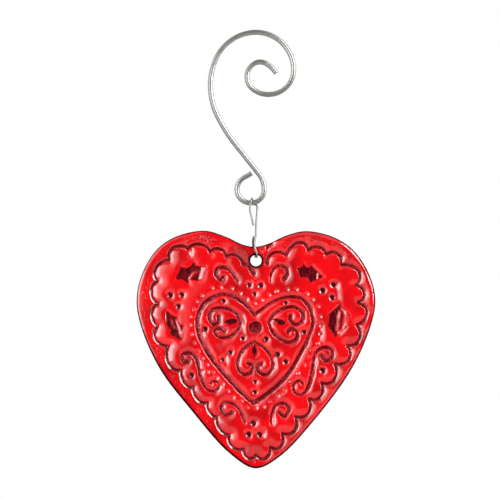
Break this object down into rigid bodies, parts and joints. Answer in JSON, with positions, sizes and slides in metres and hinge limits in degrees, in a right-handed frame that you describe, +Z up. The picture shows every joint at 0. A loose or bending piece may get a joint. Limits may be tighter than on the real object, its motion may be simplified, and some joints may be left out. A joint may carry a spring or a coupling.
{
  "type": "glass heart ornament",
  "caption": "Flat red glass heart with sunk folk scrollwork and a scalloped border, hanging by a thin wire link from a scrolled wire hook.",
  "frame": {"origin": "where the underside of the hook's big arc rests on the branch that carries it", "axes": "+Z up, from the heart to the hook; the heart's decorated face looks along -Y; +X to the right as one faces it"},
  "size_m": [0.0824, 0.0062, 0.1515],
  "materials": {
    "red_glass": "glossy pressed glass, matte in the sunk relief",
    "hook_steel": "satin drawn wire",
    "link_steel": "satin thin wire"
  },
  "bodies": {
    "hook": {"scroll_hook": "hook_steel"},
    "link": {"wire_link": "link_steel"},
    "heart": {"glass_heart": "red_glass"}
  },
  "joints": [
    {"name": "link_swing", "type": "hinge", "parent": "hook", "child": "link", "pos_m": [-0.00188, 0, -0.05806], "axis": [1, 0, 0], "range_deg": [-70, 70]},
    {"name": "heart_swing", "type": "hinge", "parent": "link", "child": "heart", "pos_m": [0, 0, -0.07671], "axis": [0, 1, 0], "range_deg": [-30, 30]}
  ]
}
